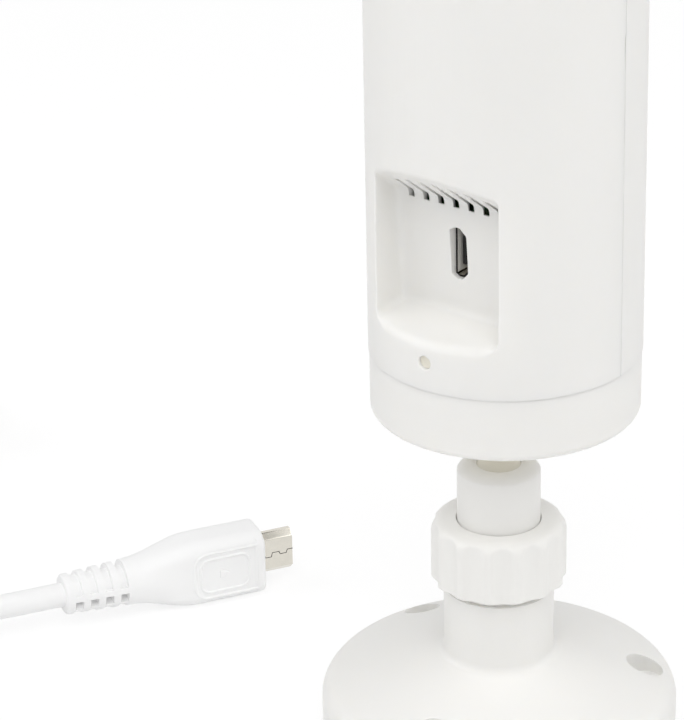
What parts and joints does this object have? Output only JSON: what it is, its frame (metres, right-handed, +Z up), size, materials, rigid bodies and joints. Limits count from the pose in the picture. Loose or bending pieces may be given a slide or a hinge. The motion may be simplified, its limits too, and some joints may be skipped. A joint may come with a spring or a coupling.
{
  "type": "network camera on stand",
  "caption": "Small upright cylindrical network camera with a power port recess in its back, on a screw-down domed foot with a clamp nut and ball joint, with its power lead.",
  "frame": {"origin": "centre of the underside of the stand's foot", "axes": "+Z up along the stand, the lens looks along -Y, the power port faces +Y"},
  "size_m": [0.202, 0.0604, 0.1351],
  "materials": {
    "white_abs": "satin moulded",
    "white_nylon": "satin moulded",
    "grey_abs": "fine texture",
    "foot_rubber": "matte",
    "white_acetal": "machined",
    "plated_steel": "zinc plated",
    "nickel_shell": "nickel plated",
    "insert_brass": "turned",
    "window_acrylic": "polished",
    "bezel_metal": "satin",
    "lens_glass": "coated",
    "black_plastic": "satin moulded",
    "sensor_glass": "polished",
    "board_green": "solder mask",
    "sink_aluminium": "anodised",
    "antenna_copper": "plated",
    "clear_plastic": "clear moulded",
    "lead_white": "satin moulded",
    "tie_black": "woven hook tape"
  },
  "bodies": {
    "stand": {"base_cover": "white_abs", "base_plate": "grey_abs", "base_screws": "plated_steel", "foot_pad": "foot_rubber", "plug_tip": "nickel_shell", "plug_tongue": "black_plastic", "plug_grip": "lead_white", "lead_cord": "lead_white", "lead_coil": "lead_white", "coil_tie": "tie_black", "host_plug_tip": "nickel_shell", "host_plug_tongue": "black_plastic", "host_plug_grip": "lead_white"},
    "clamp_ring": {"clamp_ring": "white_nylon"},
    "clamp_nut": {"clamp_nut": "white_nylon"},
    "post": {"post": "white_nylon"},
    "socket_liner": {"socket_liner": "white_acetal"},
    "camera": {"ball_stud": "white_acetal", "thread_insert": "insert_brass", "bottom_cap": "white_abs", "cap_screws": "plated_steel", "rear_shell": "white_abs", "front_shell": "white_abs", "top_cap": "white_abs", "front_window": "window_acrylic", "lens_bezel": "bezel_metal", "front_lens": "lens_glass", "lens_barrel": "black_plastic", "lens_holder": "black_plastic", "image_sensor": "sensor_glass", "led_board": "board_green", "infrared_leds": "black_plastic", "main_board": "board_green", "board_screws": "plated_steel", "port_shell": "nickel_shell", "port_tongue": "black_plastic", "reset_switch": "black_plastic", "main_chip": "black_plastic", "heat_sink": "sink_aluminium", "antenna": "antenna_copper", "antenna_lead": "black_plastic", "status_led": "clear_plastic", "light_pipe": "clear_plastic", "microphone": "plated_steel"},
    "reset_plunger": {"reset_plunger": "white_acetal"}
  },
  "joints": [
    {"name": "ring_lift", "type": "slide", "parent": "stand", "child": "clamp_ring", "axis": [0, 0, 1], "range_m": [0, 0.00151]},
    {"name": "nut_turn", "type": "hinge", "parent": "clamp_ring", "child": "clamp_nut", "pos_m": [0, 0, 0.029], "axis": [0, 0, 1], "range_deg": [0, 360]},
    {"name": "post_swivel", "type": "hinge", "parent": "stand", "child": "post", "pos_m": [0, 0, 0.02], "axis": [0, 0, 1], "continuous": true},
    {"name": "camera_roll", "type": "hinge", "parent": "post", "child": "socket_liner", "pos_m": [0, 0, 0.03979], "axis": [0, 1, 0], "range_deg": [-18, 18]},
    {"name": "camera_tilt", "type": "hinge", "parent": "socket_liner", "child": "camera", "pos_m": [0, 0, 0.03979], "axis": [1, 0, 0], "range_deg": [-18, 18]},
    {"name": "reset_press", "type": "slide", "parent": "camera", "child": "reset_plunger", "axis": [0, -1, 0], "range_m": [0, 0.0005], "stiffness_N_per_m": 2000}
  ],
  "couplings": [
    {"joint": "ring_lift", "follows": "nut_turn", "m_per_rad": 0.00023873}
  ]
}
